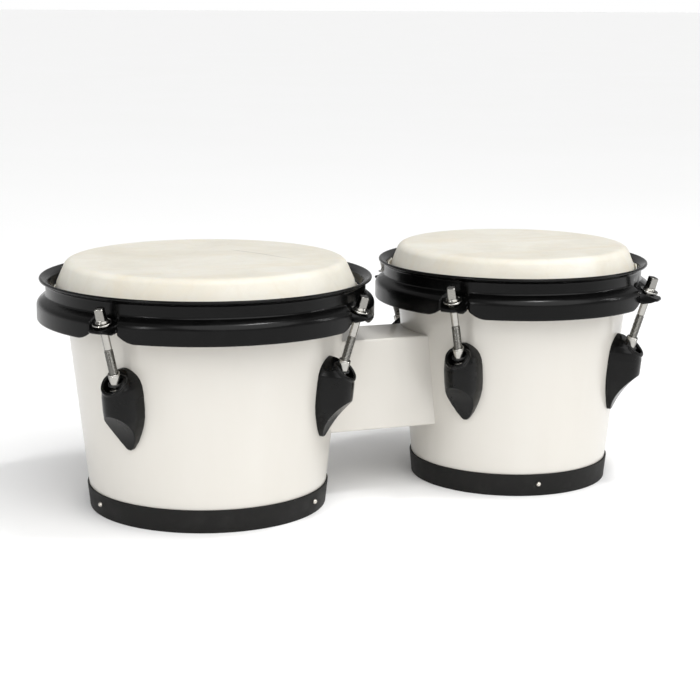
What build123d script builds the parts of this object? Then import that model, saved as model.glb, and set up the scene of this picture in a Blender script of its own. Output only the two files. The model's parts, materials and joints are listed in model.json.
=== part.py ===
"""A pair of bongo drums: two tapered wooden shells joined by a centre block.

The larger drum is the hembra (-X side), the smaller one the macho (+X side).
Each drum has a skin head on a flesh hoop, a pressed steel tension rim with four
ears, and four tension rods that screw into swivel nuts held in lug casings.
Units are millimetres, +Z is up, and the origin is on the floor at the middle of
the whole pair. X runs through both drum axes.
"""

import os
from math import atan, cos, radians, sin, sqrt, tan

from build123d import *

# ---- Driving dimensions ---------------------------------------------------
AXIS_SPACING = 238.0          # between the two drum axes
SHELL_TOP = 172.5             # height of the bearing edge
SHELL_WALL = 9.5              # wall thickness, measured level
BEARING_ROUND = 8.0           # outer rounding of the bearing edge

BAND_HEIGHT = 16.4
BAND_THICK = 1.3

RIM_TOP = 164.0               # top of the rim's flared lip
RIM_SHEET = 2.2
RIM_FLARE = 4.4               # how far the lip stands out from the collar
RIM_FLARE_HEIGHT = 3.4
COLLAR_FOOT = 151.4           # height where the collar turns into the shoulder
SKIRT_TOP = 146.8             # height where the shoulder turns into the skirt
SKIRT_FOOT = 135.7

SKIN_THICK = 1.0
SKIN_FOOT = 150.5             # where the taut skin ends, clear of the hoop at its highest
HOOP_TOP = 144.4
HOOP_WIDTH = 5.0
HOOP_HEIGHT = 5.0
HOOP_OVERLAP = 2.4            # how far the hoop reaches out under the rim's collar
FIT_GAP = 0.06                # small gap that keeps fitted faces apart

LUG_FOOT = 56.5               # height of the lug casing's lower tip
LUG_LENGTH = 58.0
LUG_HALF_WIDTH = 13.2
LUG_DEPTH = 20.2
LUG_MOUTH_BACK = (3.0, 57.5)  # (depth, height) where the sloping mouth starts at the back ...
LUG_MOUTH_FRONT = (20.2, 42.8)  # ... and ends at the front
LUG_WALL = 2.3

ROD_TILT = 17.0               # degrees that a tension rod leans out from upright
NUT_HEIGHT = 108.5            # a point on the rod's axis: its height ...
NUT_REACH = 4.55              # ... and how far it stands outside the shell's top radius
EAR_HEIGHT = 146.3            # where the rod's axis meets the ear's upper face
EAR_WIDTH = 18.0
EAR_REACH = 7.6               # from the rod's axis to the ear's outer edge
POCKET_RADIUS = 8.0           # room round the washer, pressed into the rim above the ear
POCKET_HEIGHT = 9.5
EAR_SLOT_WIDTH = 6.8
EAR_SLOT_LENGTH = 9.6

THREAD_RADIUS = 3.0
SHANK_RADIUS = 2.7
SHANK_LENGTH = 17.6
ROD_LENGTH = 58.0             # from the ear's face to the rod's end
HEAD_SQUARE = 5.8
HEAD_LENGTH = 8.6
FLANGE_RADIUS = 4.6
FLANGE_THICK = 1.8
WASHER_RADIUS = 6.8
WASHER_THICK = 1.2

NUT_RADIUS = 3.9
NUT_TOP = 35.6                # distances down the rod's axis from the ear's face
SEAT_TOP = 44.0
SEAT_THICK = 2.4
NUT_END = 54.5
NUT_COLLAR_RADIUS = 5.8
NUT_COLLAR_THICK = 3.0
CLIP_RADIUS = 5.3
CLIP_THICK = 1.1

SCREW_RADIUS = 2.0
SCREW_SPOTS = ((13.0, 5.0), (52.3, 3.0))   # (height up the lug, screw depth into its boss)
BOSS_RADIUS = 3.6
SCREW_WASHER_THICK = 1.0

BLOCK_DEPTH = 52.0
BLOCK_FOOT = 47.5
BLOCK_TOP = 114.5
BLOCK_ROUND = 1.4
TIE_ROD_RADIUS = 4.0
TIE_ROD_HEIGHTS = (64.0, 98.0)
BACKING_WIDTH = 30.0
BACKING_THICK = 7.0           # at its two upright edges, low down
TIE_ROD_BEYOND = 11.0         # how far a tie rod runs past each backing block
TIE_WASHER_THICK = 1.6
TIE_NUT_THICK = 6.4

TACK_HEIGHT = 9.0
TACK_HEAD_RADIUS = 1.9


class Drum:
    """One drum's own sizes.

    The collar and the skirt are given as distances outside the shell's top radius. Tacks and
    lugs stand at angles in degrees, counted anticlockwise from +X about the drum's axis.
    """

    def __init__(self, name, top_radius, foot_radius, collar, skirt, tack_angles, lug_angles):
        self.name = name
        self.top = top_radius
        self.foot = foot_radius
        self.collar = top_radius + collar
        self.skirt = top_radius + skirt
        self.tack_angles = tack_angles
        self.lug_angles = lug_angles
        self.slope = (top_radius - foot_radius) / SHELL_TOP
        self.centre = 0.0

    def outside(self, height):
        """The shell's outer radius at a height."""
        return self.foot + self.slope * height


HEMBRA = Drum("hembra", 101.6, 82.8, 10.2, 16.5, (-167, -46, 74), (45, 129, 219, 315))
MACHO = Drum("macho", 88.9, 72.0, 6.9, 13.7, (-98, 22, 142), (45, 131, 221, 315))
DRUMS = (HEMBRA, MACHO)
HEMBRA.centre = -(AXIS_SPACING + MACHO.skirt - HEMBRA.skirt) / 2
MACHO.centre = HEMBRA.centre + AXIS_SPACING

# The plane in which a drum's section is drawn: local X is the radius, local Y is height.
SECTION = Plane.XZ


def turned(profile):
    """Revolves a section drawn in radius and height about the drum's axis."""
    return revolve(SECTION * profile, Axis.Z, 360)


def outline(*points):
    """A closed polygon as a face."""
    return make_face(Polyline(*points, close=True))


def at_lug(drum, angle, shape):
    """Moves a shape from the radial plane of a drum standing at the origin to one lug."""
    return Pos(drum.centre, 0, 0) * Rot(0, 0, angle) * shape


def cone_below(drum, inset, low, high):
    """The solid inside the shell's outer cone, shrunk by inset, between two heights."""
    return turned(
        outline(
            (0, low),
            (drum.outside(low) - inset, low),
            (drum.outside(high) - inset, high),
            (0, high),
        )
    )


# ---- Shell, band and tacks -------------------------------------------------
def shell(drum):
    """The wooden shell, before any holes: a tapered tube with a rounded bearing edge."""
    inner_top = drum.top - SHELL_WALL
    ring = turned(
        outline(
            (drum.foot, 0),
            (drum.top, SHELL_TOP),
            (inner_top, SHELL_TOP),
            (drum.foot - SHELL_WALL, 0),
        )
    )
    top_edges = ring.edges().filter_by(GeomType.CIRCLE).group_by(Axis.Z)[-1]
    outer_edge, inner_edge = top_edges.sort_by(SortBy.RADIUS)[::-1]
    ring = fillet(outer_edge, BEARING_ROUND)
    inner_edge = (
        ring.edges().filter_by(GeomType.CIRCLE).group_by(Axis.Z)[-1].sort_by(SortBy.RADIUS)[0]
    )
    return chamfer(inner_edge, 0.8)


def base_band(drum):
    """The steel band that protects the shell's foot."""
    return turned(
        outline(
            (drum.foot + FIT_GAP, 0),
            (drum.foot + FIT_GAP + BAND_THICK, 0),
            (drum.outside(BAND_HEIGHT) + FIT_GAP + BAND_THICK, BAND_HEIGHT),
            (drum.outside(BAND_HEIGHT) + FIT_GAP, BAND_HEIGHT),
        )
    )


def tack(drum):
    """A round-headed tack, in the radial plane: its head on the band, its pin in the wood."""
    face = drum.outside(TACK_HEIGHT) + FIT_GAP + BAND_THICK
    pin = Pos(face - 7, 0, TACK_HEIGHT) * Rot(0, 90, 0) * Cylinder(
        0.6, 7.2, align=(Align.CENTER, Align.CENTER, Align.MIN)
    )
    dome = Pos(face + 0.15, 0, TACK_HEIGHT) * Rot(0, 90, 0) * (
        Sphere(TACK_HEAD_RADIUS) & Pos(0, 0, TACK_HEAD_RADIUS / 2) * Box(9, 9, TACK_HEAD_RADIUS)
    )
    return pin + Pos(-0.05, 0, 0) * dome


# ---- Skin head, flesh hoop and rim ------------------------------------------
def sheet_ring(points, radii, thickness):
    """A bent sheet of even thickness, revolved: points are its middle line."""
    line = FilletPolyline(*points, radius=radii)
    band = Wire(line.edges()).offset_2d(thickness / 2, kind=Kind.INTERSECTION, side=Side.BOTH)
    return turned(make_face(band))


def collar_inside(drum):
    """Inner radius of the rim's collar."""
    return drum.collar - RIM_SHEET


def hoop_inside(drum):
    """Inner radius of the flesh hoop."""
    return collar_inside(drum) + HOOP_OVERLAP - HOOP_WIDTH


def flesh_hoop(drum):
    """The steel ring that the skin is lapped around."""
    inside = hoop_inside(drum)
    section = Pos(inside + HOOP_WIDTH / 2, HOOP_TOP - HOOP_HEIGHT / 2) * RectangleRounded(
        HOOP_WIDTH, HOOP_HEIGHT, 2.2
    )
    return turned(section)


def skin_head(drum):
    """The skin's taut part: flat over the bearing edge, then down towards the hoop."""
    clear = SKIN_THICK / 2 + FIT_GAP
    edge = drum.top + 0.55
    spread = (hoop_inside(drum) - clear - edge) * (SHELL_TOP - SKIN_FOOT) / (SHELL_TOP - HOOP_TOP)
    points = ((0, SHELL_TOP + clear), (edge, SHELL_TOP + clear), (edge + spread, SKIN_FOOT))
    return sheet_ring(points, (9.0,), SKIN_THICK)


def beside(points, distance):
    """The corners of a line that runs beside another one, on its right-hand side."""
    steps = [(Vector(*b) - Vector(*a)).normalized() for a, b in zip(points, points[1:])]
    normals = [Vector(step.Y, -step.X) for step in steps]
    before, after = [normals[0]] + normals, normals + [normals[-1]]
    shifts = [(n1 + n2) * (distance / (1 + n1.dot(n2))) for n1, n2 in zip(before, after)]
    return [Vector(*point) + shift for point, shift in zip(points, shifts)]


def rim_form(drum, side):
    """The solid inside one face of the rim's plain sheet: side 1 is its outer face, -1 its inner.

    The inner form runs past the sheet's two edges, so that it hollows the outer one right through.
    """
    half = RIM_SHEET / 2
    extra = 0 if side > 0 else 6
    lip = Vector(RIM_FLARE, RIM_FLARE_HEIGHT - half).normalized() * extra
    points = (
        (drum.skirt - half, SKIRT_FOOT - extra),
        (drum.skirt - half, SKIRT_TOP),
        (drum.collar - half, COLLAR_FOOT),
        (drum.collar - half, RIM_TOP - RIM_FLARE_HEIGHT),
        (drum.collar - half + RIM_FLARE + lip.X, RIM_TOP - half + lip.Y),
    )
    corners = beside(points, side * half)
    line = FilletPolyline(*corners, radius=(4 + side * half, 2.6 - side * half, 4 - side * half))
    core = drum.top - 2 * extra
    lip_end = corners[-1]
    across = beside(points, -2 * half)[-1] if side > 0 else lip_end - Vector(1, 0)
    rest = Polyline(lip_end, across, (core, across.Y), (core, corners[0].Y), corners[0])
    return turned(make_face(line + rest))


def rod_frame(drum):
    """Local frame of a tension rod in the radial plane: origin on the ear, +Z up the rod."""
    tilt = radians(ROD_TILT)
    reach = drum.top + NUT_REACH + (EAR_HEIGHT - NUT_HEIGHT) * tan(tilt)
    return Plane(
        origin=(reach, 0, EAR_HEIGHT), x_dir=(cos(tilt), 0, -sin(tilt)), z_dir=(sin(tilt), 0, cos(tilt))
    )


def pocket(drum, grow):
    """The hollow above one ear, in the radial plane, grown all round by a sheet thickness."""
    up = (Align.CENTER, Align.CENTER, Align.MIN)
    half = EAR_WIDTH / 2 + grow
    room = Pos(0, 0, -grow) * Box(60, 2 * half, POCKET_HEIGHT + 2 * grow, align=up)
    room = fillet(room.edges().filter_by(Axis.X).group_by(Axis.Z)[0], 1.2 + grow)
    room = rod_frame(drum).location * room
    room = room - Cylinder(drum.collar - 0.1 - grow, 2 * RIM_TOP, align=up)
    scoop = Cylinder(POCKET_RADIUS + grow, POCKET_HEIGHT + 2 * grow, align=up)
    return room + rod_frame(drum).location * Pos(0, 0, -grow) * scoop


def ear(drum):
    """One ear of the rim, square to the rod, standing out from the foot of its pocket."""
    root = 6.0
    plate = Pos((EAR_REACH - root) / 2, 0) * Rectangle(EAR_REACH + root, EAR_WIDTH - 0.2)
    plate = fillet(plate.vertices().group_by(Axis.X)[-1], 6.5)
    return rod_frame(drum).location * extrude(plate, -RIM_SHEET + 0.02)


def ear_notch(drum):
    """The opening in the skirt below one ear, wider at the bottom."""
    half_top, half_foot = EAR_WIDTH / 2 + 0.5, EAR_WIDTH / 2 + 9.5
    high, low = EAR_HEIGHT + 8, SKIRT_FOOT - 5
    shape = outline((-half_top, high), (half_top, high), (half_top, EAR_HEIGHT), (half_foot, low),
                    (-half_foot, low), (-half_top, EAR_HEIGHT))
    facing_out = Plane(origin=(drum.collar - 2.0, 0, 0), x_dir=(0, 1, 0), z_dir=(1, 0, 0))
    below = rod_frame(drum).location * Pos(0, 0, -RIM_SHEET) * Box(
        90, 90, 40, align=(Align.CENTER, Align.CENTER, Align.MAX)
    )
    return extrude(facing_out * shape, 30) & below


def tension_rim(drum):
    """The whole rim with its four pockets, notches and slotted ears."""
    slot = extrude(SlotOverall(EAR_SLOT_LENGTH, EAR_SLOT_WIDTH), 4 * RIM_SHEET, both=True)
    slot = rod_frame(drum).location * slot
    turns = [Rot(0, 0, angle) for angle in drum.lug_angles]
    rim, hollow = rim_form(drum, 1), rim_form(drum, -1)
    small, large, tab, notch = pocket(drum, 0), pocket(drum, RIM_SHEET), ear(drum), ear_notch(drum)
    for turn in turns:
        rim = rim - turn * small
        hollow = hollow - turn * large
    rim = rim - hollow
    for turn in turns:
        rim = rim - turn * notch + turn * tab - turn * slot
    return rim


# ---- Tension rod, washer, swivel nut and clip, in the rod's own frame -------
def tension_rod():
    """Square key head, flange, plain shank and thread. The thread is a plain cylinder here."""
    down = (Align.CENTER, Align.CENTER, Align.MAX)
    up = (Align.CENTER, Align.CENTER, Align.MIN)
    seat = WASHER_THICK + FIT_GAP / 2
    flange = Pos(0, 0, seat) * Cylinder(FLANGE_RADIUS, FLANGE_THICK, align=up)
    flange = fillet(flange.edges().group_by(Axis.Z)[-1], 1.1)
    head = Pos(0, 0, seat + FLANGE_THICK / 2) * Box(
        HEAD_SQUARE, HEAD_SQUARE, HEAD_LENGTH + FLANGE_THICK / 2, align=up
    )
    head = fillet(head.edges().filter_by(Axis.Z), 0.9)
    head = fillet(head.edges().group_by(Axis.Z)[-1], 0.6)
    shank = Pos(0, 0, seat + 0.5) * Cylinder(SHANK_RADIUS, SHANK_LENGTH + seat + 0.5, align=down)
    thread = Pos(0, 0, -SHANK_LENGTH) * Cylinder(
        THREAD_RADIUS, ROD_LENGTH - SHANK_LENGTH, align=down
    )
    thread = chamfer(thread.edges().group_by(Axis.Z)[0], 0.8)
    return flange + head + shank + thread


def rod_washer():
    """A dished washer under the rod's flange."""
    hole = SHANK_RADIUS + 0.25
    return turned(
        outline(
            (hole, FIT_GAP / 2),
            (WASHER_RADIUS - 0.5, FIT_GAP / 2),
            (WASHER_RADIUS, 0.5),
            (WASHER_RADIUS, WASHER_THICK + 0.3),
            (WASHER_RADIUS - 0.5, WASHER_THICK + 0.5),
            (FLANGE_RADIUS + 0.5, WASHER_THICK),
            (hole, WASHER_THICK),
        )
    )


def swivel_nut():
    """A long round nut whose collar pulls up against the seat inside the lug casing."""
    collar_top = SEAT_TOP + SEAT_THICK + FIT_GAP
    bore = THREAD_RADIUS + 0.05
    return turned(
        outline(
            (bore + 0.5, -NUT_TOP),
            (NUT_RADIUS - 0.5, -NUT_TOP),
            (NUT_RADIUS, -NUT_TOP - 0.5),
            (NUT_RADIUS, -collar_top),
            (NUT_COLLAR_RADIUS - 0.3, -collar_top),
            (NUT_COLLAR_RADIUS, -collar_top - 0.3),
            (NUT_COLLAR_RADIUS, -collar_top - NUT_COLLAR_THICK),
            (NUT_RADIUS, -collar_top - NUT_COLLAR_THICK),
            (NUT_RADIUS, -NUT_END),
            (bore, -NUT_END),
            (bore, -NUT_TOP - 0.5),
        )
    )


def nut_clip():
    """The nylon ring that keeps the swivel nut from dropping into the casing."""
    low = -SEAT_TOP + FIT_GAP
    return Pos(0, 0, low) * (
        Cylinder(CLIP_RADIUS, CLIP_THICK, align=(Align.CENTER, Align.CENTER, Align.MIN))
        - Cylinder(NUT_RADIUS + 0.03, 3 * CLIP_THICK)
    )


# ---- Lug casing ---------------------------------------------------------------
def lug_frame(drum):
    """Frame of a lug casing in the radial plane: +X out of the shell, +Z up its side."""
    lean = atan(drum.slope)
    return Plane(
        origin=(drum.outside(LUG_FOOT), 0, LUG_FOOT),
        x_dir=(cos(lean), 0, -sin(lean)),
        z_dir=(sin(lean), 0, cos(lean)),
    )


def lug_body(shrink):
    """The casing's rounded body, shrunk all round by a wall thickness and stretched outwards."""
    foot, top = shrink, 0.99 * LUG_LENGTH - shrink
    half = LUG_HALF_WIDTH - shrink
    widest, shoulder = 0.54 * LUG_LENGTH, 0.74 * LUG_LENGTH
    bend = (0.62 * half, foot + 0.29 * (widest - foot))
    lower = Spline((1.6, foot), bend, (half, widest), tangents=((1, 0.6), (0, 1)))
    side = Line((half, widest), (half, shoulder))
    upper = EllipticalCenterArc((0, shoulder), half, top - shoulder, 0, arc_size=90)
    rest = Polyline((0, top), (0, foot), (1.6, foot))
    body = turned(make_face(lower + side + upper + rest))
    return scale(body, by=((LUG_DEPTH - shrink) / half, 1, 1))


def lug_scoop(offset):
    """The hollowed lower front of the casing. A positive offset leaves a wall under it."""
    start, middle, end = (2.6, 0.0), (8.2, 13.6), (LUG_DEPTH + 0.1, 27.2)
    arc = ThreePointArc(start, middle, end)
    rest = Polyline(end, (60, end[1]), (60, -30), (start[0], -30), start)
    face = make_face(arc + rest)
    solid = extrude(Plane.XZ * face, 40, both=True)
    return Pos(-offset, 0, offset * 0.75) * solid


def lug_mouth():
    """Everything above the sloping mouth plane of the casing."""
    (back, high), (front, low) = LUG_MOUTH_BACK, LUG_MOUTH_FRONT
    direction = Vector(front - back, 0, low - high).normalized()
    plane = Plane(origin=(back, 0, high), x_dir=direction, z_dir=(-direction.Z, 0, direction.X))
    return plane.location * Box(160, 80, 60, align=(Align.CENTER, Align.CENTER, Align.MIN))


def lug_casing(drum):
    """The hollow casing with its nut seat and two screw bosses, in the radial plane."""
    outer = lug_body(0) - lug_scoop(0)
    back_wall = outer & Pos(LUG_WALL, 0, 0) * Box(60, 80, 200, align=(Align.MAX, Align.CENTER, Align.CENTER))
    outer = outer - lug_mouth() + back_wall
    cavity = lug_body(LUG_WALL) - lug_scoop(LUG_WALL)
    casing = outer - cavity

    frame = lug_frame(drum)
    to_lug = frame.location.inverse() * rod_frame(drum).location
    seat = to_lug * (Pos(0, 0, -SEAT_TOP) * Box(
        60, 60, SEAT_THICK, align=(Align.CENTER, Align.CENTER, Align.MAX)
    ))
    casing = casing + (seat & outer)
    for height, depth in SCREW_SPOTS:
        boss = Pos(-6, 0, height) * Rot(0, 90, 0) * Cylinder(
            BOSS_RADIUS, depth + 7, align=(Align.CENTER, Align.CENTER, Align.MIN)
        )
        casing = casing + (boss & outer)
    casing = casing - to_lug * Pos(0, 0, -SEAT_TOP) * Cylinder(NUT_RADIUS + 0.45, 30)
    casing = casing - to_lug * Pos(0, 0, -SEAT_TOP - SEAT_THICK) * Cylinder(
        NUT_COLLAR_RADIUS + 0.3, NUT_COLLAR_THICK + 0.5, align=(Align.CENTER, Align.CENTER, Align.MAX)
    )
    for height, depth in SCREW_SPOTS:
        casing = casing - Pos(-9, 0, height) * Rot(0, 90, 0) * Cylinder(
            SCREW_RADIUS + 0.05, depth + 9, align=(Align.CENTER, Align.CENTER, Align.MIN)
        )
    placed = frame.location * casing
    return placed - cone_below(drum, -FIT_GAP, 10, SHELL_TOP - 12)


# ---- Lug screws -----------------------------------------------------------------
def screw_shape(drum, depth):
    """A pan-head screw along +X of the lug frame: its head inside the shell, its end in the boss."""
    inner = -inner_distance(drum) - SCREW_WASHER_THICK - 2 * FIT_GAP
    along = (Align.CENTER, Align.CENTER, Align.MIN)
    stem = Pos(inner - 0.5, 0, 0) * Rot(0, 90, 0) * Cylinder(
        SCREW_RADIUS, depth - 0.4 - inner + 0.5, align=along
    )
    head = Rot(0, 90, 0) * Cylinder(4.0, 2.4, align=(Align.CENTER, Align.CENTER, Align.MAX))
    head = fillet(head.edges().group_by(Axis.X)[0], 1.2)
    cross = Box(2.4, 4.2, 0.9) + Box(2.4, 0.9, 4.2)
    return stem + Pos(inner, 0, 0) * (head - Pos(-2.4, 0, 0) * cross)


def inner_distance(drum):
    """Depth of a lug screw washer's flat seat, measured square to the shell's outer surface."""
    return SHELL_WALL * cos(atan(drum.slope)) + 0.25


def screw_washer(drum):
    """A flat washer under a lug screw's head."""
    return Pos(-inner_distance(drum) - SCREW_WASHER_THICK - FIT_GAP, 0, 0) * Rot(0, 90, 0) * (
        Cylinder(5.0, SCREW_WASHER_THICK, align=(Align.CENTER, Align.CENTER, Align.MIN))
        - Cylinder(SCREW_RADIUS + 0.15, 5)
    )


def screw_hole(drum):
    """The hole that a lug screw needs, with a flat seat for its washer inside the shell."""
    through = Rot(0, 90, 0) * Cylinder(SCREW_RADIUS + 0.2, 60)
    seat = Pos(-inner_distance(drum), 0, 0) * Rot(0, 90, 0) * Cylinder(
        5.6, 20, align=(Align.CENTER, Align.CENTER, Align.MAX)
    )
    return through + seat


# ---- Centre block and its fastening ------------------------------------------------
def centre_block():
    """The block between the shells, hollowed at both ends to their cones."""
    middle = (HEMBRA.centre + MACHO.centre) / 2
    block = Pos(middle, 0, (BLOCK_FOOT + BLOCK_TOP) / 2) * Box(
        AXIS_SPACING, BLOCK_DEPTH, BLOCK_TOP - BLOCK_FOOT
    )
    block = fillet(block.edges().filter_by(Axis.X), BLOCK_ROUND)
    for drum in DRUMS:
        block = block - Pos(drum.centre, 0, 0) * cone_below(drum, -FIT_GAP, 20, 150)
    for height in TIE_ROD_HEIGHTS:
        block = block - Pos(middle, 0, height) * Rot(0, 90, 0) * Cylinder(
            TIE_ROD_RADIUS + 0.1, AXIS_SPACING
        )
    return block


def inward(drum):
    """+1 or -1: the X direction from a drum's axis towards the other drum."""
    return 1 if drum is HEMBRA else -1


def backing_face(drum):
    """X distance from the drum's axis to the flat face of its backing block."""
    low = BLOCK_FOOT - 2
    return sqrt((drum.outside(low) - SHELL_WALL) ** 2 - (BACKING_WIDTH / 2) ** 2) - BACKING_THICK


def backing_block(drum):
    """A hardwood pad inside the shell that gives the tie rods' nuts a flat face."""
    low, high = BLOCK_FOOT - 2, BLOCK_TOP + 2
    face = backing_face(drum)
    pad = Pos(face, 0, (low + high) / 2) * Box(
        60, BACKING_WIDTH, high - low, align=(Align.MIN, Align.CENTER, Align.CENTER)
    )
    pad = pad & cone_below(drum, SHELL_WALL + FIT_GAP, 20, 150)
    for height in TIE_ROD_HEIGHTS:
        pad = pad - Pos(0, 0, height) * Rot(0, 90, 0) * Cylinder(TIE_ROD_RADIUS + 0.1, 400)
    flip = 0 if inward(drum) > 0 else 180
    return Pos(drum.centre, 0, 0) * Rot(0, 0, flip) * pad


def tie_rod_ends():
    """X of the flat backing faces of the hembra and the macho."""
    return [drum.centre + inward(drum) * backing_face(drum) for drum in DRUMS]


def tie_rods():
    """Two threaded rods through the block and both shells."""
    left, right = tie_rod_ends()
    rod = Rot(0, 90, 0) * Cylinder(TIE_ROD_RADIUS, right - left + 2 * TIE_ROD_BEYOND)
    rod = chamfer(rod.edges(), 0.8)
    return [Pos((left + right) / 2, 0, height) * rod for height in TIE_ROD_HEIGHTS]


def tie_washers():
    """Four large washers on the backing blocks."""
    washer = Cylinder(9.0, TIE_WASHER_THICK) - Cylinder(TIE_ROD_RADIUS + 0.2, 5)
    made = []
    for drum, face in zip(DRUMS, tie_rod_ends()):
        x = face - inward(drum) * (TIE_WASHER_THICK / 2 + FIT_GAP)
        made += [Pos(x, 0, height) * Rot(0, 90, 0) * washer for height in TIE_ROD_HEIGHTS]
    return made


def tie_nuts():
    """Four hexagon nuts on the tie rods."""
    nut = extrude(RegularPolygon(7.5, 6), TIE_NUT_THICK / 2, both=True)
    nut = chamfer(nut.edges().group_by(Axis.Z)[0] + nut.edges().group_by(Axis.Z)[-1], 0.6)
    nut = nut - Cylinder(TIE_ROD_RADIUS + 0.05, 20)
    made = []
    for drum, face in zip(DRUMS, tie_rod_ends()):
        x = face - inward(drum) * (TIE_WASHER_THICK + 2 * FIT_GAP + TIE_NUT_THICK / 2)
        made += [Pos(x, 0, height) * Rot(0, 90, 0) * nut for height in TIE_ROD_HEIGHTS]
    return made


# ---- Assembly -------------------------------------------------------------------------
def save(node, *shapes):
    """Writes one node as a STEP file, with each solid separate."""
    solids = [solid for shape in shapes for solid in shape.solids()]
    export_step(Compound(children=solids) if len(solids) > 1 else solids[0], f"parts/{node}.step")


def build_drum(drum):
    """Writes every node of one drum."""
    name = drum.name
    here = Pos(drum.centre, 0, 0)
    frame = lug_frame(drum)
    rod_place = rod_frame(drum).location

    wood = shell(drum)
    screws, washers = [], []
    for angle in drum.lug_angles:
        for height, depth in SCREW_SPOTS:
            spot = Rot(0, 0, angle) * frame.location * Pos(0, 0, height)
            wood = wood - spot * screw_hole(drum)
            screws.append(here * spot * screw_shape(drum, depth))
            washers.append(here * spot * screw_washer(drum))
    tacks = [Rot(0, 0, angle) * tack(drum) for angle in drum.tack_angles]
    band = base_band(drum)
    for one in tacks:
        wood, band = wood - one, band - one
    for height in TIE_ROD_HEIGHTS:
        wood = wood - Pos(inward(drum) * drum.top, 0, height) * Rot(0, 90, 0) * Cylinder(
            TIE_ROD_RADIUS + 0.1, drum.top
        )

    save(f"{name}_shell", here * wood)
    save(f"{name}_base_band", here * band)
    save(f"{name}_band_tacks", *[here * one for one in tacks])
    save(f"{name}_skin_head", here * skin_head(drum))
    save(f"{name}_flesh_hoop", here * flesh_hoop(drum))
    save(f"{name}_tension_rim", here * tension_rim(drum))
    save(f"{name}_lug_screws", *screws)
    save(f"{name}_lug_screw_washers", *washers)

    casing = lug_casing(drum)
    clips = []
    for number, angle in enumerate(drum.lug_angles, start=1):
        save(f"{name}_lug_casing_{number}", at_lug(drum, angle, casing))
        save(f"{name}_swivel_nut_{number}", at_lug(drum, angle, rod_place * swivel_nut()))
        save(f"{name}_tension_rod_{number}", at_lug(drum, angle, rod_place * tension_rod()))
        save(f"{name}_rod_washer_{number}", at_lug(drum, angle, rod_place * rod_washer()))
        clips.append(at_lug(drum, angle, rod_place * nut_clip()))
    save(f"{name}_nut_clips", *clips)
    save(f"{name}_backing_block", backing_block(drum))


os.makedirs("parts", exist_ok=True)
for each in DRUMS:
    build_drum(each)
save("centre_block", centre_block())
save("block_tie_rods", *tie_rods())
save("tie_rod_washers", *tie_washers())
save("tie_rod_nuts", *tie_nuts())
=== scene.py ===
"""Bongo drums: the looks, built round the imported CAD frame. Units are metres."""

import json
from math import atan2, ceil, cos, degrees, hypot, pi, radians, sin, sqrt, tan

import bmesh
import bpy
import numpy as np
from mathutils import Matrix, Vector, noise


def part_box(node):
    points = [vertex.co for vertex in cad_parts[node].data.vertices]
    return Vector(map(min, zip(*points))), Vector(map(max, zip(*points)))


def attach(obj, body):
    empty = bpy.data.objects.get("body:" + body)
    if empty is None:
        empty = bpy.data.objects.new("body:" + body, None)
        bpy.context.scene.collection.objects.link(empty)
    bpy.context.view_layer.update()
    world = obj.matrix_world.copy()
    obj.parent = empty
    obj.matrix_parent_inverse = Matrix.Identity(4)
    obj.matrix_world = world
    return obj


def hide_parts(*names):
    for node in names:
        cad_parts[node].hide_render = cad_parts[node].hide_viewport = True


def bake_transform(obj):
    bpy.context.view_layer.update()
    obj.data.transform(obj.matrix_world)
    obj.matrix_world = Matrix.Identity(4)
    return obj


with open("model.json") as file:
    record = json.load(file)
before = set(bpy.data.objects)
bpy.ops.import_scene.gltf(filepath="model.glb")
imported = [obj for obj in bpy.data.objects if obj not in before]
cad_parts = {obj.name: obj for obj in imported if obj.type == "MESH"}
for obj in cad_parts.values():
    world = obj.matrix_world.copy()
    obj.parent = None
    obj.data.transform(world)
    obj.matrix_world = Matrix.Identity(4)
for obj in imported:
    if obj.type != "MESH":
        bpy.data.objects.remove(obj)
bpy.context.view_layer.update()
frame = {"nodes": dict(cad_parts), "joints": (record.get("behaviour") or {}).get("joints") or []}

MM = 0.001
CONE_HEIGHT = 172.5 * MM          # where a shell's top radius is measured
BEARING_HEIGHT = 174.4 * MM
SHELL_WALL = 9.5 * MM
RIM_SHEET = 2.2 * MM
SKIRT_FOOT = 135.7                # in mm, like the rest of rim_section
HOOP_WIDTH, HOOP_FOOT, HOOP_TOP = 5.0 * MM, 139.4 * MM, 144.4 * MM
SKIN_THICK, LAP_THICK = 0.85 * MM, 0.35 * MM   # on the head and round the hoop
EAR_HEIGHT = 146.3 * MM           # where a rod's axis meets its ear
NUT_HEIGHT = 108.5 * MM           # a lower point on that axis ...
NUT_REACH = 4.55 * MM             # ... and how far it stands outside the shell's top radius
ROD_TILT = radians(17.0)
SHANK_FOOT, ROD_END = -17.6 * MM, -58.0 * MM   # along a rod, from its ear


# ---- Small geometry helpers --------------------------------------------------------
def rounded(points, radii, steps=6, closed=False):
    """A polyline with its corners rounded by arcs. radii has one value for each corner."""
    points = [Vector(p) for p in points]
    count = len(points)
    corners = range(count) if closed else range(1, count - 1)
    radii = dict(zip(corners, radii))
    out = [] if closed else [points[0]]
    for i in corners:
        here, before, after = points[i], points[i - 1], points[(i + 1) % count]
        a, b = (before - here).normalized(), (after - here).normalized()
        half_turn = (pi - a.angle(b)) / 2
        reach = min(radii[i] * tan(half_turn), 0.49 * (before - here).length, 0.49 * (after - here).length)
        if reach < 1e-7:
            out.append(here)
            continue
        radius = reach / tan(half_turn)
        centre = here + (a + b).normalized() * (radius / cos(half_turn))
        start, stop = here + a * reach - centre, here + b * reach - centre
        sweep = start.angle_signed(stop)
        for k in range(steps + 1):
            angle = -sweep * k / steps
            turn = Matrix.Rotation(angle, 2)
            out.append(centre + turn @ start)
    if not closed:
        out.append(points[-1])
    return out


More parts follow.
